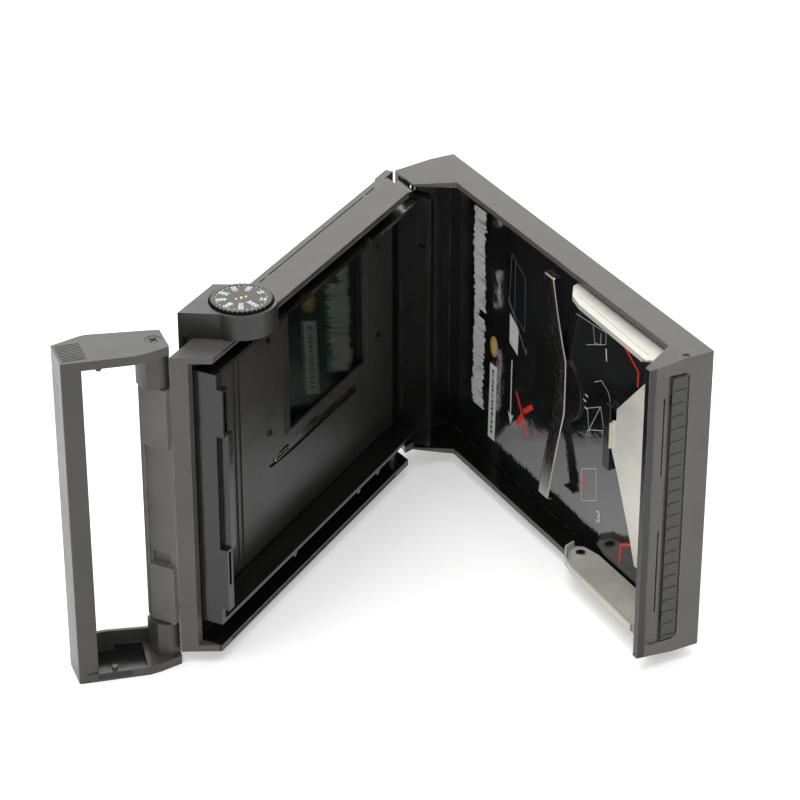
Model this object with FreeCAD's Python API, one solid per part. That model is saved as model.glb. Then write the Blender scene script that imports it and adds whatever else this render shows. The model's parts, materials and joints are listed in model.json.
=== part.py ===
"""Instant-film back for a medium-format camera: a hinged pack-film holder with a locking bail.

Every piece is drawn in a working frame: X runs along the holder from the hinge end to the exit end,
Y runs from the camera side to the cover side with Y = 0 where the closed cover meets the body, and Z
is height above the long edge the holder stands on. The cover and the bail are drawn closed and
latched, then turned open. On export everything is moved so that the origin lies on the camera
mounting face, on the axis of the film window.
"""
import FreeCAD
import Part
import math
import os

V = FreeCAD.Vector
X_AXIS = V(1, 0, 0)
Y_AXIS = V(0, 1, 0)
Z_AXIS = V(0, 0, 1)

# Driving dimensions, mm and degrees
HEIGHT = 120.0            # body and cover, across the film
MID = HEIGHT / 2
RUN = 0.05                # radial running clearance of every turning fit
BODY_BACK = -12.0         # camera-side skin of the body tray
BODY_START = -13.0        # hinge end of the body at its camera side
BODY_END = 150.0          # exit end of the body at its camera side
FLANGE = 1.0              # edge of the body's side walls
SLOPE_START = -5.5        # hinge end at the flange, after the corner slope
SLOPE_END = 143.0         # exit end at the flange, before the corner slope
INNER_END = 144.0         # exit end of the film chamber
EXIT_SILL = -6.5          # top of the exit wall, under the rollers
WALL = 2.5                # outer walls of body and cover
FLOOR_TOP = -9.5          # inner surface of the tray floor
MID_LOW = 12.0            # lower end of everything that lies between the two film edges
MID_HIGH = HEIGHT - MID_LOW
RIM_T = 1.5               # locating rims along both film edges
RIM_LOW = 12.0
RIM_HIGH = 112.2
RIM_TOP = 1.9

PLATE_FRONT = -15.0       # camera mounting face
PLATE_BACK = -12.6        # leaves the dark-slide gap behind the plate
PLATE_END = 95.5
CAMERA_HOLE_R = 2.1       # fastening holes about the window, half spacings below
CAMERA_HOLE_DX = 40.0
CAMERA_HOLE_DZ = 33.0
GRIP_START = 96.0         # deep block on the camera side at the exit end
GRIP_DEPTH = -25.0
GRIP_HIGH = 107.5
GRIP_LOW = HEIGHT - GRIP_HIGH
GRIP_WALL = 3.0

WINDOW = (13.0, 73.0, 53.5, 103.0)   # film gate opening, along and up
GATE_FRONT = -8.5
CHANNEL_FLOOR = GATE_FRONT - 0.7
CHANNEL_TOP_Z = 50.0
GLASS_T = 1.5

SLIDE_START = 6.5         # dark slide
SLIDE_END = 79.5
SLIDE_T = 0.4
SLIDE_LOW = 9.6
SLIDE_HIGH = 119.0

COVER_START = -29.5       # closed cover, hinge end
COVER_END = 154.0         # closed cover, exit end
COVER_OUT = 13.5          # outer face
COVER_FLOOR = 10.5        # inner face of the cover floor
COVER_SEAT = 1.4          # edge of the long side walls, just clear of the body flange
COVER_LIP = -12.8         # edge of the two end blocks
FACET_START = 2.4         # from here to the lip the two long edges fall away
FACET_DROP = 1.5
HINGE_X = -25.4
HINGE_Y = -7.2
PIN_R = 1.5               # hinge pin
KNUCKLE_R = 2.4
OPEN_ANGLE = 55.0         # how far the cover stands open at rest

BAIL_X = 148.5
BAIL_Y = -18.9
BAIL_ARM = 4.4            # arm depth
BAIL_PLATE = 1.2          # its outer plate
BAIL_RIM_GAP = 1.4        # its rims, from the body and cover faces
BAIL_GAP = 0.4            # pivot bosses and bar, from the body and cover faces
BAIL_REACH = 34.2         # pivot to the bar's outer face
BAIL_BAR = 7.3            # bar thickness along the arm
BAIL_HALF = 7.2           # half the bar's width
FAR_WALL_DEPTH = 4.2      # how far the arms' outer walls reach past the holder's faces
BAIL_OPEN = -43.9         # arm direction at rest, from the holder's long axis
BAIL_SHUT = 62.0          # arm direction when latched
CATCH = (21.0, 6.6)       # catch post, in the arm's own frame
CATCH_R = 1.0

DIAL_X = 117.5
DIAL_Y = -1.8
DIAL_FRONT = -3.0         # cover side of the housing's slanted block
BOSS_R = 12.7
BASE_TOP = 121.5
BOSS_TOP = 129.7
CAVITY_R = 9.6            # room for the code disc
CAVITY_TOP = 126.0
WELL_FLOOR = 127.2        # the knob turns in a well
KNOB_R = 11.1
KNOB_LOW = 127.5
KNOB_TOP = 130.7
SHAFT_R = 2.0
DETENT_R = 7.8
SKIRT_LOW = 115.5         # the housing's skirt hangs over the camera side of the body
SKIRT_BACK = -16.7

ROLLER_X = 148.3
ROLLER_R = 3.0
NIP = 0.1                 # gap between the two rollers
JOURNAL_R = 1.2
BUSH_R = 2.2
EAR_LOW = 13.5            # roller ear, outer face of the lower one
EAR_T = 1.2
ROLLER_LOW = 15.2
ROLLER_YS = (-ROLLER_R - NIP / 2, ROLLER_R + NIP / 2)

FLAP_X = 152.4            # hinge of the exit flap
FLAP_Y = -2.2
FLAP_PIN_R = 0.5
FRAME_TOP = 9.2           # roller frame, towards the cover floor
FRAME_START = 144.2       # its feet and ears
FRAME_END = 151.2
FRAME_T = 0.8
ARM_Z = 3.6               # outer face of its lower arm
FRAME_PIVOT_X = 88.0      # far end of the arms
FRAME_PIVOT_Y = 3.6
FRAME_PIN_R = 1.2

ORIGIN = V((WINDOW[0] + WINDOW[1]) / 2, PLATE_FRONT, (WINDOW[2] + WINDOW[3]) / 2)


def box(x0, x1, y0, y1, z0, z1):
    return Part.makeBox(x1 - x0, y1 - y0, z1 - z0, V(x0, y0, z0))


def cyl(radius, x, y, z0, z1):
    return Part.makeCylinder(radius, z1 - z0, V(x, y, z0), Z_AXIS)


def cyl_y(radius, x, z, y0, y1):
    return Part.makeCylinder(radius, y1 - y0, V(x, y0, z), Y_AXIS)


def cyl_x(radius, y, z, x0, x1):
    return Part.makeCylinder(radius, x1 - x0, V(x0, y, z), X_AXIS)


def prism(points, z0, z1):
    """Solid with a plan outline of (x, y) points between two heights."""
    wire = Part.makePolygon([V(x, y, z0) for x, y in points + points[:1]])
    return Part.Face(wire).extrude(V(0, 0, z1 - z0))


def prism_y(points, y0, y1):
    """Solid with a side outline of (x, z) points between two depths."""
    wire = Part.makePolygon([V(x, y0, z) for x, z in points + points[:1]])
    return Part.Face(wire).extrude(V(0, y1 - y0, 0))


def prism_x(points, x0, x1):
    """Solid with an end outline of (y, z) points between two stations."""
    wire = Part.makePolygon([V(x0, y, z) for y, z in points + points[:1]])
    return Part.Face(wire).extrude(V(x1 - x0, 0, 0))


def fuse(shapes):
    return shapes[0].multiFuse(shapes[1:]).removeSplitter()


def cut(shape, tools):
    return shape.cut(Part.makeCompound(tools))


def mirror_z(shape):
    """The same shape at the other end of the height."""
    return shape.mirror(V(0, 0, MID), Z_AXIS)


def both_ends(shape):
    return [shape, mirror_z(shape)]


def is_along(edge, direction):
    line = edge.Vertexes[-1].Point.sub(edge.Vertexes[0].Point)
    return line.Length > 1e-6 and abs(line.normalize().dot(direction)) > 0.999


def soften(shape, direction, radius):
    """Round every straight edge that runs in one direction."""
    return shape.makeFillet(radius, [e for e in shape.Edges if is_along(e, direction)])


def rounded(x0, x1, y0, y1, z0, z1, direction, radius):
    return soften(box(x0, x1, y0, y1, z0, z1), direction, radius)


def turned_cover(shape):
    return shape.rotated(V(HINGE_X, HINGE_Y, 0), Z_AXIS, OPEN_ANGLE)


def arm_frame(shape, angle):
    """Place a shape drawn with its pivot at the origin and its arm along +X."""
    return shape.rotated(V(0, 0, 0), Z_AXIS, angle).translated(V(BAIL_X, BAIL_Y, 0))


# Body

def gate_screw_places():
    return [(24.5, 46.5), (53.0, 46.5), (88.0, 60.0), (88.0, 98.0), (2.0, 60.0), (2.0, 98.0)]


def plate_screw_places():
    return [(x, z) for x in (-6.0, 90.0) for z in (16.0, 60.0, 104.0)]


def hinge_screw_heights():
    return (24.0, 60.0, 96.0)


def body_shell():
    plan = [(BODY_START, BODY_BACK), (SLOPE_START, FLANGE), (SLOPE_END, FLANGE), (BODY_END, BODY_BACK)]
    tray = prism(plan, 0, HEIGHT)
    trough = box(BODY_START - 1, INNER_END, FLOOR_TOP, FLANGE + 1, WALL, HEIGHT - WALL)
    film_exit = box(INNER_END - 1, BODY_END, EXIT_SILL, FLANGE + 1, WALL, HEIGHT - WALL)
    tail = box(-20.0, BODY_START + 1, BODY_BACK, -10.2, 14, HEIGHT - 14)
    shell = fuse([cut(tray, [trough, film_exit]), tail])
    margin = 4.0
    x0, x1, z0, z1 = WINDOW
    back = BODY_BACK - 1
    tools = [box(x0 - margin, x1 + margin, back, FLOOR_TOP + 1, z0 - margin, z1 + margin)]
    tools += [box(6, 136, FLANGE - 0.6, FLANGE + 1, z, z + 0.7) for z in (0.9, HEIGHT - 1.6)]
    tools += [cyl_y(0.9, x, z, back, FLOOR_TOP + 1) for x, z in plate_screw_places()]
    tools += [cyl_y(0.8, x, z, -10.9, FLOOR_TOP + 1) for x, z in gate_screw_places()]
    tools += [cyl_y(1.3, -17.0, z, back, -9) for z in hinge_screw_heights()]
    tools += [cyl_y(CAMERA_HOLE_R, x, z, back, -10.0) for x, z in camera_hole_places()]
    return cut(shell, tools)


def grip_housing():
    """Deep hollow block on the camera side, with the steps and ribs of its exit face."""
    shell = rounded(GRIP_START, BODY_END, GRIP_DEPTH, BODY_BACK, GRIP_LOW, GRIP_HIGH, X_AXIS, 1.0)
    hollow = box(GRIP_START + GRIP_WALL, BODY_END - 9, GRIP_DEPTH + GRIP_WALL, BODY_BACK + 1,
                 GRIP_LOW + GRIP_WALL, GRIP_HIGH - GRIP_WALL)
    face = BODY_END + 1.8
    upper = box(BODY_END - 1, face, -23.2, -12.8, 84.5, GRIP_HIGH)
    lower = box(BODY_END - 1, face, -22.2, -12.8, GRIP_LOW, 35.6)
    rib = box(BODY_END - 1, BODY_END + 0.9, -23.6, -22.7, 35.0, 85.0)
    recess = box(BODY_END - 1.2, BODY_END + 1, -21.8, -14.6, 36.2, 40.5)
    bore = cyl(1.3, BAIL_X, BAIL_Y, GRIP_HIGH - 9, GRIP_HIGH + 1)
    return cut(fuse([shell, upper, lower, rib]), [hollow, recess] + both_ends(bore))


def mount_plate():
    """Thin plate that meets the camera, held off the tray by rails that also guide the dark slide."""
    x0, x1, z0, z1 = WINDOW
    high = HEIGHT - 0.1
    plate = box(-12.0, PLATE_END, PLATE_FRONT, PLATE_BACK, 1.0, high)
    spans = [(-12.0, -3.0, 1.0), (4.0, 6.2, 9.0), (79.8, 82.0, 9.0), (86.0, PLATE_END, 1.0)]
    rails = [box(start, end, PLATE_BACK - 0.1, BODY_BACK, low, high) for start, end, low in spans]
    rails.append(box(-12.0, PLATE_END, PLATE_BACK - 0.1, BODY_BACK, 4.0, 9.0))
    lugs = both_ends(box(-20.0, -11.0, -16.2, -13.0, HEIGHT - 9.0, HEIGHT - 0.4))
    plate = fuse([plate] + rails + lugs)
    front = PLATE_FRONT - 1
    back = BODY_BACK + 1
    tools = [rounded(x0 - 2, x1 + 2, front, PLATE_BACK + 1, z0 - 2, z1 + 2, Y_AXIS, 2.0)]
    for x, z in plate_screw_places():
        tools.append(cyl_y(1.3, x, z, front, back))
        tools.append(cyl_y(2.3, x, z, front, PLATE_FRONT + 1.2))
    tools += [cyl_y(CAMERA_HOLE_R, x, z, front, back) for x, z in camera_hole_places()]
    tools.append(light_groove(0.0))
    tools.append(contact_opening())
    tools.append(thumb_opening())
    return cut(plate, tools)


def thumb_opening():
    """Slot in the plate above the light seal, through which a thumb pushes the dark slide out."""
    x = ORIGIN.x
    return rounded(x - 9.0, x + 9.0, PLATE_FRONT - 1, PLATE_BACK + 0.001, 110.6, 116.6, Y_AXIS, 2.9)


def contact_opening():
    return box(87.0, 90.2, PLATE_FRONT - 1, PLATE_BACK, 108.2, 117.0)


def dark_slide():
    """Thin sheet between plate and tray that covers the window; it pulls out upwards."""
    y1 = BODY_BACK - 0.1
    return box(SLIDE_START, SLIDE_END, y1 - SLIDE_T, y1, SLIDE_LOW, SLIDE_HIGH)


def camera_hole_places():
    """Four clearance holes on a rectangle about the window."""
    cx = ORIGIN.x
    cz = ORIGIN.z
    return [(cx + sx * CAMERA_HOLE_DX, cz + sz * CAMERA_HOLE_DZ) for sx in (-1, 1) for sz in (-1, 1)]


def light_groove(inset):
    """Rectangular ring in the camera face, around the window."""
    x0, x1, z0, z1 = WINDOW
    out = 6 - inset
    into = 4 + inset
    outer = box(x0 - out, x1 + out, PLATE_FRONT - 1, PLATE_FRONT + 0.8 - inset, z0 - out, z1 + out)
    inner = box(x0 - into, x1 + into, PLATE_FRONT - 2, PLATE_FRONT + 2, z0 - into, z1 + into)
    return outer.cut(inner)


def light_seal():
    """Foam ring that lies in the groove, flush with the camera face."""
    ring = light_groove(0.1)
    return ring.common(box(-50, 200, PLATE_FRONT, PLATE_BACK, 0, HEIGHT))


def countersunk_screw_y(x, z, head_y, tip_y, head_r, shank_r, head_t):
    """Screw along Y with a cross recess in its head."""
    sign = 1 if tip_y > head_y else -1
    under = head_y + sign * head_t
    head = cyl_y(head_r, x, z, min(head_y, under), max(head_y, under))
    shank = cyl_y(shank_r, x, z, min(head_y, tip_y), max(head_y, tip_y))
    y0 = head_y - 0.5
    reach = 0.65 * head_r
    cross = [box(x - 0.25, x + 0.25, y0, y0 + 1.0, z - reach, z + reach),
             box(x - reach, x + reach, y0, y0 + 1.0, z - 0.25, z + 0.25)]
    return cut(fuse([head, shank]), cross)


def plate_screws():
    head = PLATE_FRONT + 0.1
    tip = FLOOR_TOP - 0.3
    return [countersunk_screw_y(x, z, head, tip, 2.0, 0.85, 1.1) for x, z in plate_screw_places()]


def film_gate_plate():
    """Black sheet plate on the tray floor with the window, its ridges and the stepped channel below."""
    x0, x1, z0, z1 = WINDOW
    face = GATE_FRONT
    plate = box(-10.5, 138.2, FLOOR_TOP, face, MID_LOW + 2.2, MID_HIGH - 2.2)
    ridges = [box(x, x + 0.6, face - 0.1, face + 0.6, z0, z1) for x in (x0 - 1.6, x1 + 1.0, x1 + 2.4)]
    ridges.append(box(x0 - 1.6, x1 + 3.0, face - 0.1, face + 0.6, z1 + 0.6, z1 + 1.2))
    ridges += [box(x, x + 0.7, face - 0.1, face + 0.5, 18.0, 102.0) for x in (109.0, 112.4)]
    plate = fuse([plate] + ridges)
    channel = [(20.0, 44.0), (20.0, 48.0), (50.0, 48.0), (52.5, 49.6), (74.0, 49.6), (90.0, 46.8),
               (87.5, 45.0), (72.0, 44.0)]
    tools = [box(x0, x1, FLOOR_TOP - 1, face + 1, z0, z1), prism_y(channel, CHANNEL_FLOOR, face + 1)]
    tools += [cyl_y(0.8, x, z, FLOOR_TOP - 1, face + 1) for x, z in gate_screw_places()]
    return cut(plate, tools)


def gate_screws():
    places = gate_screw_places()
    return [countersunk_screw_y(x, z, head_level(z) + 0.55, -10.6, 1.25, 0.7, 0.5) for x, z in places]


def head_level(z):
    """The two screws in the channel sit lower than the four on the plate."""
    return CHANNEL_FLOOR if z < CHANNEL_TOP_Z else GATE_FRONT


def gate_wire():
    """Hairpin of spring wire lying in the channel."""
    y = GATE_FRONT - 0.3
    bend_x = 83.5
    z = 46.4
    bend = Part.makeTorus(0.7, 0.3, V(bend_x, y, z), Y_AXIS)
    bend = bend.cut(box(bend_x - 2, bend_x, y - 1, y + 1, z - 2, z + 2))
    legs = [cyl_x(0.3, y, z + side * 0.7, 73.0, bend_x) for side in (-1, 1)]
    return fuse([bend] + legs)


def glass_plate():
    x0, x1, z0, z1 = WINDOW
    top = FLOOR_TOP - 0.05
    return box(x0 - 3.5, x1 + 3.5, top - GLASS_T, top, z0 - 3.5, z1 + 3.5)


def glass_clips():
    """Two flat strips between the glass and the mounting plate that hold the glass up to the gate."""
    x0, x1, z0, z1 = WINDOW
    y1 = FLOOR_TOP - 0.05 - GLASS_T
    return [box(x, x + 1.6, BODY_BACK + 0.05, y1, z0, z1) for x in (x0 - 3.4, x1 + 1.8)]


def inner_frame():
    """Rims that stand proud of the body flange and locate the pack, with the stepped exit end."""
    y0 = FLOOR_TOP
    end = 143.6
    rims = [box(9.0, end, y0, RIM_TOP, RIM_LOW, RIM_LOW + RIM_T)]
    rims.append(box(-12.0, 9.5, y0, RIM_TOP - 2.4, RIM_LOW, RIM_LOW + RIM_T))
    rims.append(box(-12.0, end, y0, RIM_TOP, RIM_HIGH, RIM_HIGH + RIM_T))
    nubs = []
    for x in (22.5, 38.5, 89.5):
        low_nub = [(x - 1.6, RIM_LOW + 0.1), (x - 0.7, RIM_LOW - 1.4), (x + 0.7, RIM_LOW - 1.4),
                   (x + 1.6, RIM_LOW + 0.1)]
        nubs.append(prism_y(low_nub, RIM_TOP - 2.5, RIM_TOP))
    for x in (29.0, 79.5):
        top = RIM_HIGH + RIM_T
        high_nub = [(x - 1.8, top - 0.1), (x - 0.5, top + 1.9), (x + 0.5, top + 1.9), (x + 1.8, top - 0.1)]
        nubs.append(prism_y(high_nub, RIM_TOP - 1.5, RIM_TOP))
    wall = box(141.4, end, y0, RIM_TOP, RIM_LOW, RIM_HIGH + RIM_T)
    blocks = [box(139.8, end, y0, 4.8, 18.6, 43.6), box(139.8, end, y0, 4.8, 89.5, 108.0)]
    blocks.append(box(139.8, end, y0, 2.6, 107.9, RIM_HIGH + RIM_T))
    middle = box(138.4, 141.5, y0, 5.4, 43.5, 90.0)
    frame = fuse(rims + nubs + [wall, middle] + blocks)
    slots = [box(141.0, 142.6, 1.8, 5.5, z0, z1) for z0, z1 in ((29.0, 42.6), (91.0, 107.0))]
    slots += [box(120.0, 141.3, -8.0, -6.8, z - 0.05, z + RIM_T + 0.05) for z in (RIM_LOW, RIM_HIGH)]
    return cut(frame, slots)


def hinge_block():
    """Hinge-end wall of the body: carries the pin, and a small cap that closes the corner."""
    plan = [(-13.1, -9.9), (-13.1, 6.6), (-16.0, 6.6), (-19.5, 3.0), (-19.5, -10.1), (-13.1, -10.1)]
    low = 6.0
    wall = prism(plan, low, HEIGHT - low)
    caps = both_ends(prism([(-15.6, -9.5), (-20.0, -10.5), (-13.1, -0.6), (-8.6, -1.9)], 113.9, 117.0))
    knuckles = []
    for z0, z1 in knuckle_spans(True):
        knuckles.append(cyl(KNUCKLE_R, HINGE_X, HINGE_Y, z0, z1))
        knuckles.append(box(HINGE_X, -19.0, HINGE_Y - 2.0, HINGE_Y + 2.0, z0, z1))
    block = fuse([wall] + caps + knuckles)
    tools = [cyl(PIN_R + 0.02, HINGE_X, HINGE_Y, 0, HEIGHT)]
    tools.append(box(-14.3, -12, 1.0, 4.6, 93.5, 103.0))
    tools += [box(-13.7, -12, -6.0, -2.0, z, z + 13.0) for z in (20.0, 42.0, 64.0)]
    tools += [box(-13.7, -12, 5.2, 5.7, 16.0, HEIGHT - 16.0)]
    tools += [cyl_y(0.9, -17.0, z, -11.0, 0.0) for z in hinge_screw_heights()]
    tools += both_ends(box(-21.0, -12.0, -13.0, -10.0, 105.0, 118.0))
    return cut(block, tools)


def knuckle_spans(on_body):
    """Heights of the hinge knuckles, taken in turn by body and cover."""
    count = 5
    low = 15.0
    pitch = (HEIGHT - 2 * low) / count
    spans = [(low + i * pitch + 0.15, low + (i + 1) * pitch - 0.15) for i in range(count)]
    return [s for i, s in enumerate(spans) if (i % 2 == 1) == on_body]


def hinge_screws():
    head = BODY_BACK - 0.55
    return [countersunk_screw_y(-17.0, z, head, -2.0, 1.9, 0.88, 0.55) for z in hinge_screw_heights()]


def hinge_pin():
    return cyl(PIN_R, HINGE_X, HINGE_Y, 3.2, HEIGHT - 3.2)


# Film speed dial

def dial_edges(y):
    """Where the housing's two slanted ends cross one depth."""
    share = (y - DIAL_FRONT) / (SKIRT_BACK - DIAL_FRONT)
    return (104.9 + 6.4 * share, 130.1 + 5.6 * share)


def dial_plan(y0, y1, inset=0.0):
    """Outline of the housing's slanted block between two depths."""
    start0, end0 = dial_edges(y0)
    start1, end1 = dial_edges(y1)
    return [(start0 + inset, y0), (start1 + inset, y1), (end1 - inset, y1), (end0 - inset, y0)]


def dial_housing():
    """Slanted block with a round boss; the knob sits in a well, the code disc in the cavity under it."""
    block = prism(dial_plan(DIAL_FRONT, SKIRT_BACK), BASE_TOP, BOSS_TOP)
    boss = cyl(BOSS_R, DIAL_X, DIAL_Y, BASE_TOP, BOSS_TOP)
    skirt_front = BODY_BACK - 0.05
    skirt = prism(dial_plan(skirt_front, SKIRT_BACK), SKIRT_LOW, BASE_TOP + 1)
    hollow = prism(dial_plan(skirt_front - 1.0, SKIRT_BACK + 1.0, 1.0), SKIRT_LOW - 1, BASE_TOP)
    body = fuse([block, boss, skirt.cut(hollow)])
    tools = [cyl(CAVITY_R, DIAL_X, DIAL_Y, BASE_TOP - 1, CAVITY_TOP)]
    tools.append(cyl(SHAFT_R + RUN, DIAL_X, DIAL_Y, BASE_TOP, BOSS_TOP + 1))
    tools.append(cyl(KNOB_R + 0.4, DIAL_X, DIAL_Y, WELL_FLOOR, BOSS_TOP + 1))
    tools.append(box(132.0, 137.0, -15.4, -13.8, SKIRT_LOW + 1.2, SKIRT_LOW + 5.0))
    tools += [cyl(0.9, x, y, BASE_TOP - 1, BASE_TOP + 5) for x, y in dial_screw_places()]
    return cut(body, tools)


def dial_screw_places():
    return [(109.9, -10.4), (127.6, -9.8)]


def dial_base():
    """Floor plate of the dial housing: rests on the body rim and hangs clear over the cover."""
    low = HEIGHT + 0.4
    outline = dial_plan(DIAL_FRONT, BODY_BACK)
    plate = fuse([prism(outline, low, BASE_TOP), cyl(BOSS_R, DIAL_X, DIAL_Y, low, BASE_TOP)])
    pad = box(109.0, 130.0, -11.9, 0.8, HEIGHT, HEIGHT + 0.5)
    plate = fuse([plate, pad])
    tools = [cyl(SHAFT_R + RUN, DIAL_X, DIAL_Y, HEIGHT + 0.9, BASE_TOP + 1)]
    tools.append(box(DIAL_X - 20, DIAL_X + 20, SKIRT_BACK, BODY_BACK, HEIGHT - 1, BASE_TOP + 1))
    for x, y in dial_screw_places():
        tools.append(cyl(1.0, x, y, HEIGHT - 1, BASE_TOP + 1))
        tools.append(cyl(1.45, x, y, HEIGHT - 1, HEIGHT + 0.5))
    return cut(plate, tools)


def screw_z(x, y, head_z, tip_z, head_r, shank_r, head_t):
    """Screw along Z with a cross recess in its head."""
    sign = 1 if tip_z > head_z else -1
    under = head_z + sign * head_t
    head = cyl(head_r, x, y, min(head_z, under), max(head_z, under))
    shank = cyl(shank_r, x, y, min(head_z, tip_z), max(head_z, tip_z))
    z0 = head_z - 0.6
    reach = 0.62 * head_r
    cross = [box(x - 0.3, x + 0.3, y - reach, y + reach, z0, z0 + 1.2),
             box(x - reach, x + reach, y - 0.3, y + 0.3, z0, z0 + 1.2)]
    return cut(fuse([head, shank]), cross)


def dial_screws():
    head = HEIGHT + 0.05
    return [screw_z(x, y, head, BASE_TOP + 4.5, 1.35, 0.85, 0.4) for x, y in dial_screw_places()]


def iso_dial():
    """Knob with a notched rim and a sunk face."""
    knob = cyl(KNOB_R, DIAL_X, DIAL_Y, KNOB_LOW, KNOB_TOP)
    count = 40
    notches = []
    for i in range(count):
        a = 2 * math.pi * i / count
        x = DIAL_X + KNOB_R * math.cos(a)
        y = DIAL_Y + KNOB_R * math.sin(a)
        notches.append(cyl(0.62, x, y, KNOB_LOW + 0.5, KNOB_TOP + 1))
    sunk = cyl(KNOB_R - 1.5, DIAL_X, DIAL_Y, KNOB_TOP - 0.4, KNOB_TOP + 1)
    bore = cyl(SHAFT_R - 0.5, DIAL_X, DIAL_Y, KNOB_LOW - 1, KNOB_TOP - 1.0)
    return cut(knob, notches + [sunk, bore])


def dial_face():
    return cyl(KNOB_R - 1.55, DIAL_X, DIAL_Y, KNOB_TOP - 0.4, KNOB_TOP - 0.1)


def dial_shaft():
    low = cyl(SHAFT_R, DIAL_X, DIAL_Y, HEIGHT + 1.0, KNOB_LOW)
    top = cyl(SHAFT_R - 0.5, DIAL_X, DIAL_Y, KNOB_LOW - 0.1, KNOB_TOP - 1.0)
    return fuse([low, top])


def speed_disc():
    """Code disc on the shaft, with detent holes."""
    low = 124.6
    disc = cyl(CAVITY_R - 0.4, DIAL_X, DIAL_Y, low, low + 1)
    count = 12
    holes = [cyl(SHAFT_R, DIAL_X, DIAL_Y, low - 1, low + 2)]
    for i in range(count):
        a = 2 * math.pi * i / count
        x = DIAL_X + DETENT_R * math.cos(a)
        y = DIAL_Y + DETENT_R * math.sin(a)
        holes.append(cyl(0.7, x, y, low - 1, low + 2))
    return cut(disc, holes)


def detent_ball():
    return Part.makeSphere(0.95, V(DIAL_X + DETENT_R, DIAL_Y, 123.6))


def detent_spring():
    """Leaf on the base plate that presses the ball up."""
    start = DIAL_X + 3.0
    leaf = box(start, start + 6.2, DIAL_Y - 1.5, DIAL_Y + 1.5, 122.2, 122.5)
    foot = box(start, start + 1.0, DIAL_Y - 1.5, DIAL_Y + 1.5, BASE_TOP, 122.3)
    return fuse([leaf, foot])


# Bail

def arm_outline():
    return [(-4.0, -6.3), (0.0, -7.3), (20.2, -11.0), (22.7, -11.0), (BAIL_REACH, -BAIL_HALF),
            (BAIL_REACH, BAIL_HALF), (8.9, 9.6), (4.0, 8.8), (-4.0, 6.3)]


def boss_outline():
    return [(3.3, -5.7), (6.1, -2.5), (5.4, 0.8), (4.0, 4.0), (0.0, 5.7), (-4.0, 4.0), (-5.4, 0.0),
            (-4.5, -4.5)]


def far_wall_outline():
    """The arm's outer wall, which laps past the ends of body and cover."""
    return [(3.3, -7.9), (20.2, -11.0), (22.7, -11.0), (30.0, -8.6), (29.6, -7.4), (22.5, -9.7),
            (20.4, -9.7), (3.6, -6.6)]


def bail_arm():
    """Upper arm: an outer plate with rims, a hollow inside, a faceted pivot boss and a catch post."""
    face = HEIGHT
    outside = face + BAIL_GAP + BAIL_ARM
    arm = soften(prism(arm_outline(), face + BAIL_RIM_GAP, outside), Z_AXIS, 0.8)
    hollow = prism([(7.5, -7.0), (20.3, -9.6), (22.5, -9.6), (26.5, -8.3), (26.5, 6.6), (9.3, 8.2)],
                   face, outside - BAIL_PLATE)
    far_wall = prism(far_wall_outline(), face - FAR_WALL_DEPTH, outside - 0.5)
    boss = prism(boss_outline(), GRIP_HIGH + 0.4, face + BAIL_RIM_GAP + 0.5)
    post = cyl(CATCH_R, CATCH[0], CATCH[1], face + 0.05, outside - 0.5)
    arm = fuse([arm.cut(hollow), far_wall, boss, post])
    pitch = 1.05
    lines = [pitch * (i - 5.5) for i in range(12)]
    tools = [box(24.5, 33.2, y - 0.22, y + 0.22, outside - 0.35, outside + 1) for y in lines]
    tools.append(cyl(1.5 + RUN, 0, 0, GRIP_HIGH, outside + 1))
    tools.append(cyl(3.0, 0, 0, outside - 1.3, outside + 1))
    return cut(arm, tools)


def latch_bail():
    """U-shaped bail: two arms and the bar that joins them."""
    reach = BAIL_ARM + BAIL_GAP - 0.6
    bar = box(BAIL_REACH - BAIL_BAR, BAIL_REACH, -BAIL_HALF, BAIL_HALF, -reach, HEIGHT + reach)
    bar = soften(bar, Z_AXIS, 0.6)
    return arm_frame(fuse(both_ends(bail_arm()) + [bar]), BAIL_OPEN)


def bail_screws():
    """Shouldered pivot screws, one in each end of the deep block."""
    head = HEIGHT + BAIL_GAP + BAIL_ARM - 0.1
    shoulder = cyl(1.5, BAIL_X, BAIL_Y, GRIP_HIGH + 0.05, head - 0.5)
    screw = screw_z(BAIL_X, BAIL_Y, head, GRIP_HIGH - 8.5, 2.9, 1.25, 1.1)
    return both_ends(fuse([screw, shoulder]))


# Cover, drawn closed

def cover_plan():
    return [(COVER_START, COVER_LIP), (-15.2, COVER_LIP), (SLOPE_START - 0.7, COVER_SEAT),
            (SLOPE_END + 0.6, COVER_SEAT), (151.3, COVER_LIP), (COVER_END, COVER_LIP),
            (COVER_END, COVER_OUT), (COVER_START, COVER_OUT)]


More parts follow.
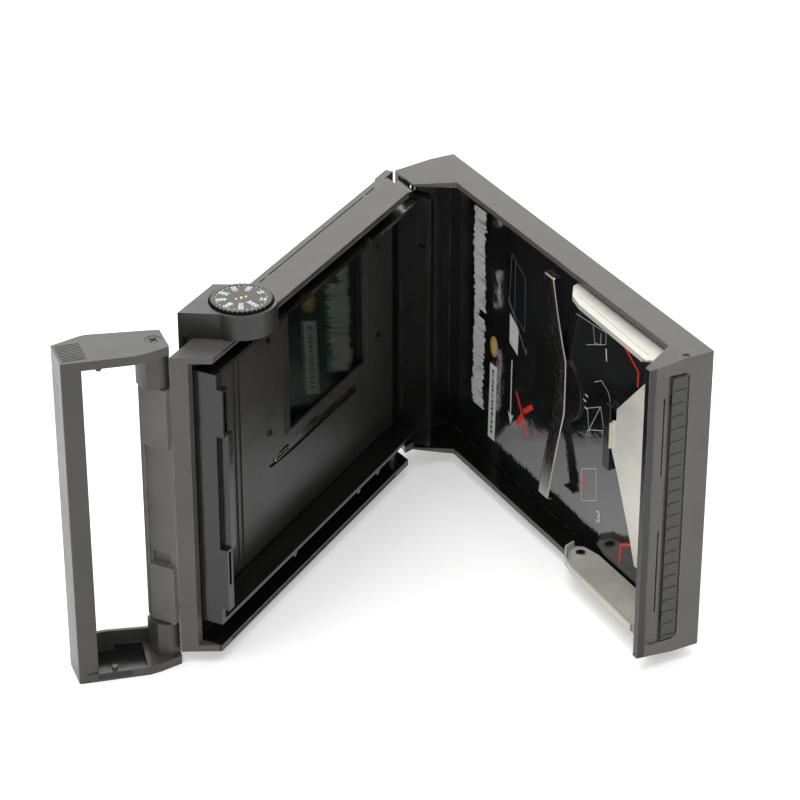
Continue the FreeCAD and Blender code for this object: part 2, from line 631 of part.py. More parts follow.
def cover_shell():
    shell = prism(cover_plan(), 0, HEIGHT)
    outer = [e for e in shell.Edges if all(abs(v.Point.y - COVER_OUT) < 1e-6 for v in e.Vertexes)]
    shell = shell.makeFillet(0.9, outer)
    cavity = box(COVER_START + WALL, COVER_END - WALL, COVER_LIP - 1, COVER_FLOOR, WALL, HEIGHT - WALL)
    shell = cut(shell, cover_facets() + [cavity] + exit_face_cuts())
    ears = []
    pockets = []
    for z0, z1 in knuckle_spans(False):
        ears.append(cyl(KNUCKLE_R, HINGE_X, HINGE_Y, z0, z1))
        ears.append(box(COVER_START + 1, HINGE_X, HINGE_Y - 2.0, HINGE_Y + 2.0, z0, z1))
    for z0, z1 in knuckle_spans(True):
        pockets.append(cyl(KNUCKLE_R + 0.2, HINGE_X, HINGE_Y, z0 - 0.1, z1 + 0.1))
    pin_bore = cyl(PIN_R + RUN, HINGE_X, HINGE_Y, 3.0, HEIGHT - 3.0)
    rivet_holes = [cyl_y(0.8, x, z, COVER_FLOOR - 1, COVER_FLOOR + 1.6) for x, z in spring_rivet_places()]
    frame_holes = both_ends(cyl(FRAME_PIN_R, FRAME_PIVOT_X, FRAME_PIVOT_Y, 1.2, WALL + 1))
    catch = both_ends(cyl(CATCH_R + 0.3, *catch_place(), HEIGHT - 0.5, HEIGHT + 1))
    stud = cyl_y(0.9, *stud_place(), COVER_OUT - 1.5, COVER_OUT + 1)
    shell = cut(shell, pockets)
    shell = fuse([shell] + ears)
    return turned_cover(cut(shell, [pin_bore, stud] + rivet_holes + frame_holes + catch + flap_seat()))


def cover_facets():
    """The two long edges fall away from the side walls to the lip."""
    outline = [(FACET_START, HEIGHT + 1), (FACET_START, HEIGHT), (COVER_LIP - 0.1, HEIGHT - FACET_DROP),
               (COVER_LIP - 0.1, HEIGHT + 1)]
    return both_ends(prism_x(outline, COVER_START - 1, COVER_END + 1))


def exit_face_cuts():
    """Sunk panel, film slot and two long slits in the exit face."""
    face = COVER_END + 1
    panel = rounded(COVER_END - 0.8, face, -9.8, 3.8, 5.6, 114.4, X_AXIS, 3.0)
    slot = box(COVER_END - WALL - 1, face, -0.9, 0.9, 14.0, HEIGHT - 14.0)
    slits = [box(COVER_END - 1.8, face, -6.0, -5.3, z0, z1) for z0, z1 in ((74.5, 105.5), (18.5, 52.5))]
    return [panel, slot] + slits


def catch_place():
    """Where the catch posts come to rest when the bail is latched."""
    a = math.radians(BAIL_SHUT)
    x, y = CATCH
    return (BAIL_X + x * math.cos(a) - y * math.sin(a), BAIL_Y + x * math.sin(a) + y * math.cos(a))


def stud_place():
    return (COVER_END - 9.0, 114.0)


def index_stud():
    x, z = stud_place()
    shank = cyl_y(0.9, x, z, COVER_OUT - 1.5, COVER_OUT)
    head = cyl_y(1.6, x, z, COVER_OUT, COVER_OUT + 0.7)
    return turned_cover(fuse([shank, head]))


def label_plate():
    """Glossy sheet on the inside of the cover floor."""
    sheet = rounded(-18.0, 118.0, COVER_FLOOR - 0.4, COVER_FLOOR, 4.0, HEIGHT - 4.0, Y_AXIS, 2.0)
    holes = [cyl_y(0.8, x, z, COVER_FLOOR - 1, COVER_FLOOR + 1) for x, z in spring_rivet_places()]
    return turned_cover(cut(sheet, holes))


def spring_rivet_places():
    return [(60.8, 57.6), (60.8, 67.4)]


def spring_base():
    """Backing plate of the pack spring, rounded at its exit end."""
    y1 = COVER_FLOOR - 0.4
    low = 48.6
    high = 75.2
    radius = (high - low) / 2
    rounded_end = cyl_y(radius, 62.0, low + radius, y1 - 0.8, y1)
    plate = fuse([box(42.0, 62.0, y1 - 0.8, y1, low, high), rounded_end])
    holes = [cyl_y(0.8, x, z, y1 - 2, y1 + 1) for x, z in spring_rivet_places()]
    return turned_cover(cut(plate, holes))


def pack_spring():
    """Bowed leaf: flat at the rivets, rising to both curled tips."""
    base = COVER_FLOOR - 1.2
    t = 0.4
    flat = 10.3
    mid = 62.6
    start = 57.1
    end = 64.4
    line = [(base, mid - flat), (base - 6.3, mid - 45.6), (base - 5.0, mid - 47.0)]
    arm = prism_x(line + [(y - t, z) for y, z in reversed(line)], start, end)
    middle = box(start, end, base - t, base, mid - flat, mid + flat)
    spring = fuse([middle, arm, arm.mirror(V(0, 0, mid), Z_AXIS)])
    holes = [cyl_y(0.8, x, z, base - 2, base + 1) for x, z in spring_rivet_places()]
    return turned_cover(cut(spring, holes))


def spring_rivets():
    top = COVER_FLOOR - 1.6
    rivets = []
    for x, z in spring_rivet_places():
        shank = cyl_y(0.8, x, z, top, COVER_FLOOR + 1.6)
        rivets.append(turned_cover(fuse([shank, cyl_y(1.5, x, z, top - 0.5, top)])))
    return rivets


# Exit flap

def exit_flap():
    """Ribbed strip over the film slot, swinging outwards on two short pins."""
    plate = box(COVER_END - 0.7, COVER_END - 0.1, -3.0, 2.9, 6.3, 113.3)
    start = 7.4
    pitch = 5.0
    heights = [start + i * pitch for i in range(22)]
    ribs = [box(COVER_END - 0.2, COVER_END + 0.15, -2.5, 2.4, z - 0.5, z + 0.5) for z in heights]
    ears = both_ends(box(FLAP_X - 0.5, COVER_END - 0.6, FLAP_Y - 0.6, FLAP_Y + 0.6, 14.3, 17.7))
    pins = both_ends(cyl(FLAP_PIN_R, FLAP_X, FLAP_Y, 12.6, 19.4))
    return turned_cover(fuse([plate] + ribs + ears + pins))


def flap_seat():
    """What the exit wall gives up to the flap: hinge pockets, pin bores and a relief groove."""
    pockets = both_ends(box(COVER_END - WALL - 0.5, COVER_END, FLAP_Y - 0.9, FLAP_Y + 0.9, 14.0, 18.0))
    bores = both_ends(cyl(FLAP_PIN_R + RUN, FLAP_X, FLAP_Y, 12.4, 19.6))
    groove = box(COVER_END - 1.4, COVER_END, FLAP_Y - 2.0, FLAP_Y + 1.1, 5.7, 114.3)
    return pockets + bores + [groove]


# Roller unit at the exit end of the cover

ARM_EDGE = [(82.0, 4.0), (83.5, -0.5), (90.0, -4.8), (97.0, -6.3), (141.0, -7.6)]
ARM_RIM_INSIDE = [(141.0, -6.8), (97.0, -5.5), (90.4, -4.1), (84.2, 0.0), (82.8, 4.0)]


def frame_arm_plan():
    """Outline of one arm, from its rounded far end along the near edge to the foot and back."""
    return ARM_EDGE + [(143.0, -7.6), (FRAME_START, -5.7), (FRAME_END, -5.7), (FRAME_END, FRAME_TOP),
                       (92.0, FRAME_TOP), (84.5, 7.4)]


def roller_frame():
    """Bent steel: two long arms with turned edges, and two ears that carry the rollers."""
    return turned_cover(fuse([frame_side(3.2), mirror_z(frame_side(1.9)), frame_tie()]))


def frame_side(rim_height):
    """One arm with its foot and ear, drawn at the lower end; the turned edge follows its near side."""
    t = FRAME_T
    ear_high = EAR_LOW + EAR_T
    arm = prism(frame_arm_plan(), ARM_Z, ARM_Z + t)
    rim = prism(ARM_EDGE + ARM_RIM_INSIDE, ARM_Z, ARM_Z + rim_height)
    foot = box(FRAME_START, FRAME_END, 4.0, FRAME_TOP, ARM_Z, ear_high)
    hollow = box(FRAME_START - 1, FRAME_END - t, 4.0 + t, FRAME_TOP - t, ARM_Z + t, ear_high + 1)
    ear = box(FRAME_START, FRAME_END, -5.7, FRAME_TOP, EAR_LOW, ear_high)
    side = fuse([fuse([arm, rim, foot]).cut(hollow), ear])
    tools = [cyl(BUSH_R, ROLLER_X, y, EAR_LOW - 1, EAR_LOW + 2) for y in ROLLER_YS]
    tools.append(cyl(FRAME_PIN_R + RUN, FRAME_PIVOT_X, FRAME_PIVOT_Y, ARM_Z - 1, ARM_Z + 2))
    tools.append(rounded(96.0, 138.0, -1.5, 6.0, ARM_Z - 1, ARM_Z + 2, Z_AXIS, 2.5))
    return cut(side, tools)


def frame_tie():
    return box(FRAME_START, FRAME_END, FRAME_TOP - FRAME_T, FRAME_TOP, EAR_LOW, HEIGHT - EAR_LOW)


def film_guide_plate():
    """Light grey plate that leads the film into the rollers; narrow towards both ends."""
    outline = [(144.1, 14.0), (144.1, 106.0), (131.0, 104.0), (116.2, 87.9), (101.6, 72.2), (101.6, 67.5),
               (98.8, 66.0), (99.2, 53.8), (103.3, 46.3), (112.9, 25.5), (117.5, 14.0)]
    low = FRAME_TOP - FRAME_T
    plate = prism_y(outline, low, FRAME_TOP)
    fold = box(143.3, 144.1, low - 0.7, low + 0.1, 48.0, 84.0)
    lip = box(98.9, 99.7, low - 1.2, low + 0.1, 55.0, 65.5)
    return turned_cover(fuse([plate, fold, lip]))


def spread_block():
    """Black plastic block that spreads the developer evenly."""
    return turned_cover(rounded(94.0, 98.4, 7.8, COVER_FLOOR - 0.5, 44.5, 71.5, Y_AXIS, 0.8))


def frame_pins():
    """Headed pins that hold the far ends of the arms to the cover's side walls."""
    head = ARM_Z + FRAME_T + 0.05
    pin = fuse([cyl(FRAME_PIN_R, FRAME_PIVOT_X, FRAME_PIVOT_Y, 1.2, head),
                cyl(1.8, FRAME_PIVOT_X, FRAME_PIVOT_Y, head, head + 0.7)])
    return [turned_cover(p) for p in both_ends(pin)]


def roller_bushes():
    bushes = []
    for y in ROLLER_YS:
        sleeve = cyl(BUSH_R, ROLLER_X, y, EAR_LOW, EAR_LOW + EAR_T)
        collar = cyl(2.8, ROLLER_X, y, EAR_LOW + EAR_T, EAR_LOW + EAR_T + 0.3)
        bush = fuse([sleeve, collar]).cut(cyl(JOURNAL_R + RUN, ROLLER_X, y, 0, HEIGHT))
        bushes += [turned_cover(b) for b in both_ends(bush)]
    return bushes


def roller_springs():
    x = ROLLER_X
    leaf = box(x - 0.7, x + 0.7, -5.6, 5.6, EAR_LOW - 1.0, EAR_LOW - 0.6)
    return [turned_cover(p) for p in both_ends(leaf)]


def roller(y):
    barrel = cyl(ROLLER_R, ROLLER_X, y, ROLLER_LOW, HEIGHT - ROLLER_LOW)
    journal = cyl(JOURNAL_R, ROLLER_X, y, EAR_LOW - 0.5, HEIGHT - EAR_LOW + 0.5)
    return turned_cover(fuse([barrel, journal]))


# Contacts that pass the film speed to the camera

def contact_places():
    return [(88.6, z) for z in (110.0, 112.6, 115.2)]


def contact_block():
    block = box(87.0, 90.2, PLATE_FRONT + 0.1, PLATE_BACK, 108.2, 117.0)
    return cut(block, [cyl_y(0.6, x, z, PLATE_FRONT - 1, PLATE_BACK + 1) for x, z in contact_places()])


def contact_pins():
    return [cyl_y(0.6, x, z, PLATE_FRONT - 0.3, PLATE_BACK) for x, z in contact_places()]


def parts():
    """Every node and what it is made of."""
    return {
        "body_shell": body_shell(),
        "grip_housing": grip_housing(),
        "mount_plate": mount_plate(),
        "plate_screws": plate_screws(),
        "light_seal": light_seal(),
        "dark_slide": dark_slide(),
        "film_gate_plate": film_gate_plate(),
        "gate_screws": gate_screws(),
        "gate_wire": gate_wire(),
        "glass_plate": glass_plate(),
        "glass_clips": glass_clips(),
        "inner_frame": inner_frame(),
        "hinge_block": hinge_block(),
        "hinge_screws": hinge_screws(),
        "hinge_pin": hinge_pin(),
        "contact_block": contact_block(),
        "contact_pins": contact_pins(),
        "dial_housing": dial_housing(),
        "dial_base": dial_base(),
        "dial_screws": dial_screws(),
        "iso_dial": iso_dial(),
        "dial_face": dial_face(),
        "dial_shaft": dial_shaft(),
        "speed_disc": speed_disc(),
        "detent_ball": detent_ball(),
        "detent_spring": detent_spring(),
        "latch_bail": latch_bail(),
        "bail_screws": bail_screws(),
        "cover_shell": cover_shell(),
        "index_stud": index_stud(),
        "label_plate": label_plate(),
        "spring_base": spring_base(),
        "pack_spring": pack_spring(),
        "spring_rivets": spring_rivets(),
        "exit_flap": exit_flap(),
        "roller_frame": roller_frame(),
        "film_guide_plate": film_guide_plate(),
        "spread_block": spread_block(),
        "frame_pins": frame_pins(),
        "roller_bushes": roller_bushes(),
        "roller_springs": roller_springs(),
        "inner_roller": roller(ROLLER_YS[0]),
        "outer_roller": roller(ROLLER_YS[1]),
    }


def main():
    os.makedirs("parts", exist_ok=True)
    for name, shape in parts().items():
        solids = shape if isinstance(shape, list) else [shape]
        whole = solids[0] if len(solids) == 1 else Part.makeCompound(solids)
        whole.translated(ORIGIN.negative()).exportStep(os.path.join("parts", name + ".step"))


main()
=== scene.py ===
"""Looks of the instant-film back: finishes, printed marks, fine moulded detail, floor, light and camera."""
import json
import math
import random

import bmesh
import bpy
from mathutils import Matrix, Vector


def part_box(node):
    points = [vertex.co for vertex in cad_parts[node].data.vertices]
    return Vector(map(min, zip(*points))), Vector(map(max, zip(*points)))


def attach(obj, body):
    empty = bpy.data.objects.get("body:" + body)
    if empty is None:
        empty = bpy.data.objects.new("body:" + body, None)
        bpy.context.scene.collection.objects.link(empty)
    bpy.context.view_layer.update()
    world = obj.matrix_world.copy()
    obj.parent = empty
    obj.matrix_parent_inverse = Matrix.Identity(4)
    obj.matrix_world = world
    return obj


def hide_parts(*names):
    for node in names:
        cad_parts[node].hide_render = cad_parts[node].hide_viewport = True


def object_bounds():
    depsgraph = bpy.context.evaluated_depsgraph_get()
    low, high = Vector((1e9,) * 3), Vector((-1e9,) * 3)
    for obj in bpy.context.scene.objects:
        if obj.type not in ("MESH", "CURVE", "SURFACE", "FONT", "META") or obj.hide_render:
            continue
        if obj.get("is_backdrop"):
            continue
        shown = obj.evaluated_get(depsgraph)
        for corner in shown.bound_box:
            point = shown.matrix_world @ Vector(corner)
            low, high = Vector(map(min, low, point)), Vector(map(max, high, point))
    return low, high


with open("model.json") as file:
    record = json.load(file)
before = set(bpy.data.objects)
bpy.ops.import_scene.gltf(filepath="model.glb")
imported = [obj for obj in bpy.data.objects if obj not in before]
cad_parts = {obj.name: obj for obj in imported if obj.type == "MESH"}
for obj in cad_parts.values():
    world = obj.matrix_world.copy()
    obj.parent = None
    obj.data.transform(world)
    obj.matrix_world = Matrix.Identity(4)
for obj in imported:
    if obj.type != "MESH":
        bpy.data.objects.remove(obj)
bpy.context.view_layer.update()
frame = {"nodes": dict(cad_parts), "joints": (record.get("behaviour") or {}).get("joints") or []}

NODES = frame["nodes"]
JOINTS = {joint["name"]: joint for joint in frame["joints"]}
MM = 0.001

# The holder's own millimetre frames: X along it from the hinge end, Y from the camera side to the closed
# cover, Z up from the long edge that it stands on
BODY_TAIL = 20.0          # how far the body shell reaches past X = 0 at the hinge end
FLANGE = 1.0              # edge of its side walls, past Y = 0
BAIL_LATCHED = 62.0       # direction of the latched bail's arms, degrees from X
LABEL_Y = 10.1            # printed face of the label, in the closed cover


def holder_frame():
    low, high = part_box("body_shell")
    return Matrix.Translation((low.x + BODY_TAIL * MM, high.y - FLANGE * MM, low.z)) @ Matrix.Scale(MM, 4)


def turned(joint, degrees, place):
    """place, turned about a joint's upright axis."""
    pivot = Vector(JOINTS[joint]["pos_m"])
    turn = Matrix.Rotation(math.radians(degrees), 4, "Z")
    return Matrix.Translation(pivot) @ turn @ Matrix.Translation(-pivot) @ place


def axes(origin, x, y, z):
    """Frame with its origin and its three axes given in the frame it will be used in."""
    made = Matrix.Identity(4)
    for column, vector in enumerate((x, y, z, origin)):
        for row in range(3):
            made[row][column] = vector[row]
    return made


HOLDER = holder_frame()
COVER = turned("cover_hinge", -JOINTS["cover_hinge"]["range_deg"][0], HOLDER)
LABEL = COVER @ axes((0, LABEL_Y, 0), (1, 0, 0), (0, 0, 1), (0, -1, 0))


def pivot_frame(joint, degrees):
    """Millimetre frame on a joint's axis, with Z measured from the long edge the holder stands on."""
    x, y, _ = JOINTS[joint]["pos_m"]
    place = Matrix.Translation((x, y, HOLDER.translation.z))
    return place @ Matrix.Rotation(math.radians(degrees), 4, "Z") @ Matrix.Scale(MM, 4)


BAIL = pivot_frame("bail_pivot", BAIL_LATCHED - JOINTS["bail_pivot"]["range_deg"][1])
DIAL = pivot_frame("dial_turn", 0)


# Node graphs

BEVEL_SAMPLES = 4
FLAT_COSINE = 0.985       # between the rounded and the true normal: no edge near
SHARP_COSINE = 0.8        # full edge


class Graph:
    """One material's node graph."""

    def __init__(self, name):
        self.material = bpy.data.materials.new(name)
        self.material.use_nodes = True
        self.tree = self.material.node_tree
        self.tree.nodes.clear()
        output = self.tree.nodes.new("ShaderNodeOutputMaterial")
        self.shader = self.tree.nodes.new("ShaderNodeBsdfPrincipled")
        self.tree.links.new(self.shader.outputs["BSDF"], output.inputs["Surface"])
        self.coords = self.tree.nodes.new("ShaderNodeTexCoord").outputs["Object"]

    def put(self, socket, value):
        if isinstance(value, bpy.types.NodeSocket):
            self.tree.links.new(value, socket)
        else:
            socket.default_value = value

    def node(self, kind, **inputs):
        made = self.tree.nodes.new(kind)
        for key, value in inputs.items():
            self.put(made.inputs[key.replace("_", " ")], value)
        return made

    def set(self, **inputs):
        for key, value in inputs.items():
            self.put(self.shader.inputs[key.replace("_", " ")], value)

    def stretched(self, x, y, z):
        """Coordinates scaled along each axis, for streaks."""
        return self.node("ShaderNodeMapping", Vector=self.coords, Scale=(x, y, z)).outputs["Vector"]

    def noise(self, scale, detail=3.0, rough=0.55, vector=None):
        made = self.node("ShaderNodeTexNoise", Scale=scale, Detail=detail, Roughness=rough)
        self.put(made.inputs["Vector"], vector or self.coords)
        return made.outputs["Fac"]

    def ramp(self, value, low, high, start=0.0, end=1.0):
        made = self.node("ShaderNodeMapRange", Value=value, From_Min=low, From_Max=high,
                         To_Min=start, To_Max=end)
        return made.outputs["Result"]

    def math(self, operation, first, second):
        made = self.tree.nodes.new("ShaderNodeMath")
        made.operation = operation
        self.put(made.inputs[0], first)
        self.put(made.inputs[1], second)
        return made.outputs[0]

    def mix(self, share, first, second):
        made = self.tree.nodes.new("ShaderNodeMix")
        made.data_type = "RGBA"
        self.put(made.inputs[0], share)
        self.put(made.inputs[6], first)
        self.put(made.inputs[7], second)
        return made.outputs[2]

    def bump(self, height, distance, normal=None):
        made = self.node("ShaderNodeBump", Strength=1.0, Distance=distance, Height=height)
        if normal is not None:
            self.put(made.inputs["Normal"], normal)
        return made.outputs["Normal"]

    def edges(self, radius):
        """1 where the surface turns sharply within a radius, 0 on flat ground."""
        bevel = self.node("ShaderNodeBevel", Radius=radius)
        bevel.samples = BEVEL_SAMPLES
        dot = self.tree.nodes.new("ShaderNodeVectorMath")
        dot.operation = "DOT_PRODUCT"
        self.put(dot.inputs[0], bevel.outputs["Normal"])
        self.put(dot.inputs[1], self.tree.nodes.new("ShaderNodeNewGeometry").outputs["Normal"])
        return self.ramp(dot.outputs["Value"], FLAT_COSINE, SHARP_COSINE)


    def inside(self, place, low, high):
        """1 inside a box given in another frame, 0 outside it."""
        spot, turn, size = place.inverted().decompose()
        moved = self.node("ShaderNodeMapping", Vector=self.coords, Scale=size,
                          Rotation=turn.to_euler(), Location=spot)
        parts = self.node("ShaderNodeSeparateXYZ", Vector=moved.outputs["Vector"])
        share = 1.0
        for axis, start, end in zip("XYZ", low, high):
            share = self.math("MULTIPLY", share, self.math("GREATER_THAN", parts.outputs[axis], start))
            share = self.math("MULTIPLY", share, self.math("LESS_THAN", parts.outputs[axis], end))
        return share

    def zones(self, boxes):
        """1 inside any of the boxes, 0 elsewhere; a plain 0 without boxes."""
        share = 0.0
        for place, low, high in boxes:
            share = self.math("MAXIMUM", share, self.inside(place, low, high))
        return share


def tone(level, warm=0.05):
    return (level * (1 + warm), level, level * (1 - warm), 1.0)


SHADE_PAINT_LEVEL = 0.005        # black painted as shade inside the holder's hollows
DARK_ROUGH = 0.2
EDGE_REACH = 0.0005       # metres either side of an edge that get rubbed paler, which also paints a highlight along it
DUST_TONE = 0.25
SWELL = 0.0004            # slow waviness of a moulded wall, metres


def plastic(name, level, rough, grain=0.00003, cell=0.0004, wear_and_highlight=0.5, dust=0.2, dark=()):
    """Black moulded plastic: spark grain, cloudy tone, a little dust, and edges rubbed paler and smoother,
    the paler edges also standing for painted highlights.

    Inside the dark boxes it is smoother and painted deep black, as painted shade in hollows, grooves and
    along the lower flange.
    """
    g = Graph(name)
    cloud = g.noise(28.0, 4.0)
    rub_and_glint = g.noise(150.0, 6.0, 0.7)
    # deep is 1 in the dark boxes, where the colour turns to black as painted shade
    deep = g.zones(dark)
    base = g.mix(g.ramp(cloud, 0.35, 0.7), tone(level * 0.85), tone(level * 1.2))
    base = g.mix(deep, base, tone(SHADE_PAINT_LEVEL))
    # Paler edges: rubbing wear, and painted highlights along the edges as well
    edge = g.math("MULTIPLY", g.edges(EDGE_REACH), g.ramp(rub_and_glint, 0.42, 0.62))
    edge_wear_and_highlight = g.mix(g.math("MULTIPLY", edge, wear_and_highlight), base, tone(level * 4 + 0.03, 0.03))
    speck = g.ramp(g.noise(900.0, 5.0, 0.8), 0.62, 0.75)
    specks = g.math("MULTIPLY", speck, g.ramp(g.noise(22.0), 0.4, 0.7))
    g.set(Base_Color=g.mix(g.math("MULTIPLY", specks, dust), edge_wear_and_highlight, tone(DUST_TONE, 0.05)))
    polish = g.math("ADD", g.math("MULTIPLY", edge, 0.15), g.math("MULTIPLY", deep, rough - DARK_ROUGH))
    g.set(Roughness=g.math("SUBTRACT", g.ramp(cloud, 0.3, 0.7, rough - 0.04, rough + 0.06), polish))
    swell = g.bump(g.noise(70.0, 2.0), SWELL)
    texture = g.math("SUBTRACT", 1.0, g.math("MULTIPLY", deep, 0.8))
    relief = g.math("MULTIPLY", g.noise(1 / cell, 2.0, 0.7), texture)
    g.set(Normal=g.bump(relief, grain, swell))
    return g.material


def steel(name, colour, rough, streaks, tarnish=0.35):
    """Rolled steel: streaks along the sheet, blotches of tarnish."""
    g = Graph(name)
    streak = g.noise(1.0, 4.0, 0.65, g.stretched(*streaks))
    blotch = g.ramp(g.noise(60.0, 5.0, 0.6), 0.52, 0.75, 0.0, tarnish)
    deep = tuple(c * 0.8 for c in colour) + (1.0,)
    pale = tuple(min(1.0, c * 1.08) for c in colour) + (1.0,)
    stain = tuple(c * 0.45 for c in colour) + (1.0,)
    g.set(Base_Color=g.mix(blotch, g.mix(g.ramp(streak, 0.35, 0.65), deep, pale), stain), Metallic=1.0)
    g.set(Roughness=g.math("ADD", g.ramp(streak, 0.3, 0.7, rough - 0.05, rough + 0.06),
                           g.math("MULTIPLY", blotch, 0.3)))
    g.set(Normal=g.bump(streak, 0.00001))
    return g.material


def plated(name, colour, rough):
    """Zinc-plated sheet with a warm, milky satin finish."""
    g = Graph(name)
    cloud = g.noise(45.0, 5.0, 0.6)
    fine = g.noise(700.0, 3.0, 0.6)
    deep = tuple(c * 0.86 for c in colour) + (1.0,)
    pale = tuple(min(1.0, c * 1.06) for c in colour) + (1.0,)
    g.set(Base_Color=g.mix(g.ramp(cloud, 0.3, 0.7), deep, pale), Metallic=0.4)
    g.set(Roughness=g.ramp(cloud, 0.3, 0.7, rough - 0.05, rough + 0.08))
    g.set(Normal=g.bump(fine, 0.00002))
    return g.material


def gloss_label(name):
    """Varnished black print: deep gloss with the fine orange peel and waves of a glued sheet."""
    g = Graph(name)
    waves = g.bump(g.noise(45.0, 2.0, 0.5), 0.0005)
    peel = g.bump(g.noise(420.0, 3.0, 0.6), 0.00006, waves)
    scratch = g.ramp(g.noise(1.0, 5.0, 0.8, g.stretched(60.0, 60.0, 1400.0)), 0.6, 0.72)
    g.set(Base_Color=g.mix(g.ramp(g.noise(30.0), 0.3, 0.7), tone(0.006), tone(0.012, -0.1)))
    g.set(Roughness=g.math("ADD", g.ramp(g.noise(90.0, 4.0), 0.4, 0.8, 0.03, 0.1),
                           g.math("MULTIPLY", scratch, 0.06)), IOR=2.1)
    g.set(Normal=peel)
    return g.material


def print_ink(name, colour, rough=0.35):
    """Printed or painted mark: slightly uneven ink."""
    g = Graph(name)
    cloud = g.noise(900.0, 4.0, 0.7)
    pale = tuple(colour) + (1.0,)
    deep = tuple(c * 0.78 for c in colour) + (1.0,)
    g.set(Base_Color=g.mix(g.ramp(cloud, 0.35, 0.65), deep, pale), Roughness=rough)
    g.set(Normal=g.bump(cloud, 0.000008))
    return g.material


def window_glass(name):
    """Coated glass with a faint smear; its reflections are warm."""
    g = Graph(name)
    smear = g.noise(90.0, 4.0, 0.6)
    g.set(Base_Color=(0.6, 0.8, 0.72, 1.0), Transmission_Weight=1.0)
    g.set(IOR=1.3, Specular_Tint=(1.0, 0.62, 0.48, 1.0))
    g.set(Roughness=g.ramp(smear, 0.45, 0.8, 0.0, 0.08))
    return g.material


def foam(name):
    """Fine-celled black foam."""
    g = Graph(name)
    cells = g.node("ShaderNodeTexVoronoi", Vector=g.coords, Scale=2200.0).outputs["Distance"]
    g.set(Base_Color=g.mix(g.ramp(cells, 0.1, 0.6), tone(0.008), tone(0.03)), Roughness=0.95)
    g.set(Normal=g.bump(cells, 0.0002))
    return g.material


# Boxes of painted shade, where the plastic is painted deep black and made smoother: a frame, a low corner
# and a high corner
COVER_HOLLOW = (COVER, (-28.0, -14.0, 2.2), (152.2, 11.0, 117.8))
BODY_HOLLOW = (HOLDER, (-25.0, -9.7, 2.2), (142.9, 0.9, 117.8))
# painted shade along the lower flange beside the floor
LOWER_FLANGE = (HOLDER, (-25.0, 0.2, -1.0), (150.0, 3.0, 2.6))
GATE_CHANNEL = (HOLDER, (18.0, -9.6, 43.0), (92.0, -8.7, 50.0))
COVER_EXIT_BORDER = (COVER, (150.0, -13.5, 1.0), (154.5, -9.8, 119.0))
LOWER_ARM_HOLLOW = (BAIL, (6.5, -9.0, -3.9), (27.5, 9.0, -1.6))


def make_materials():
    warm_zinc = (0.74, 0.72, 0.65)
    return {
        # The grip housing is the shell's plastic painted paler, as painted light on its end wall
        "grip": plastic("grip_plastic_painted_light", 0.085, 0.46, grain=0.00004, cell=0.0003),
        "shell": plastic("shell_plastic", 0.055, 0.48, grain=0.00004, cell=0.0003,
                         dark=(BODY_HOLLOW, LOWER_FLANGE)),
        "cover": plastic("cover_plastic", 0.066, 0.5, grain=0.00004, cell=0.0003,
                         dark=(COVER_HOLLOW, COVER_EXIT_BORDER)),
        "bail": plastic("bail_plastic", 0.034, 0.36, grain=0.00002, dark=(LOWER_ARM_HOLLOW,)),
        "inside": plastic("inside_plastic", 0.006, 0.2, grain=0.000008, wear_and_highlight=0.6, dust=0.08),
        "dial": plastic("dial_plastic", 0.008, 0.34, grain=0.000015, dust=0.05),
        "face": plastic("dial_face_paint", 0.028, 0.45, grain=0.000008, dust=0.05),
        "sheet": plastic("black_sheet", 0.018, 0.34, grain=0.000006, cell=0.0008, wear_and_highlight=0.4, dust=0.1,
                         dark=(GATE_CHANNEL,)),
        "plate": plastic("mount_plate_paint", 0.035, 0.4, grain=0.000008, cell=0.0008, wear_and_highlight=0.4, dust=0.1),
        "slide": plastic("dark_slide_sheet", 0.004, 0.22, grain=0.000004, cell=0.0008, wear_and_highlight=0.2, dust=0.02),
        "flap": plastic("flap_plastic", 0.02, 0.34, grain=0.00001),
        "zinc": plated("zinc_plate", warm_zinc, 0.42),
        "cream": plated("cream_plate", (0.56, 0.545, 0.49), 0.46),
        "spring": steel("spring_steel", (0.36, 0.34, 0.31), 0.26, (900.0, 900.0, 25.0)),
        "ground": steel("ground_steel", (0.75, 0.75, 0.76), 0.12, (600.0, 600.0, 600.0), 0.15),
        "screw": steel("black_screw", (0.07, 0.07, 0.07), 0.34, (900.0, 900.0, 900.0), 0.2),
        "brass": steel("brass", (0.78, 0.6, 0.32), 0.25, (700.0, 700.0, 700.0), 0.4),
        "dial_case": plastic("dial_case_plastic", 0.013, 0.34, grain=0.000015),
        "label": gloss_label("label_varnish"),
        "glass": window_glass("window_glass"),
        "foam": foam("seal_foam"),
        "bands": print_ink("pale_band_ink", (0.8, 0.8, 0.79), 0.6),
        "white": print_ink("white_ink", (0.66, 0.66, 0.64)),
        "grey": print_ink("grey_ink", (0.16, 0.17, 0.22)),
        "yellow": print_ink("yellow_ink", (0.75, 0.5, 0.08)),
        "red": print_ink("red_ink", (0.72, 0.03, 0.02)),
        "gold": print_ink("gold_foil", (0.62, 0.45, 0.12), 0.3),
        "paper": print_ink("pale_sticker", (0.72, 0.72, 0.7), 0.5),
        "paper_ink": print_ink("sticker_ink", (0.06, 0.06, 0.06), 0.5),
    }


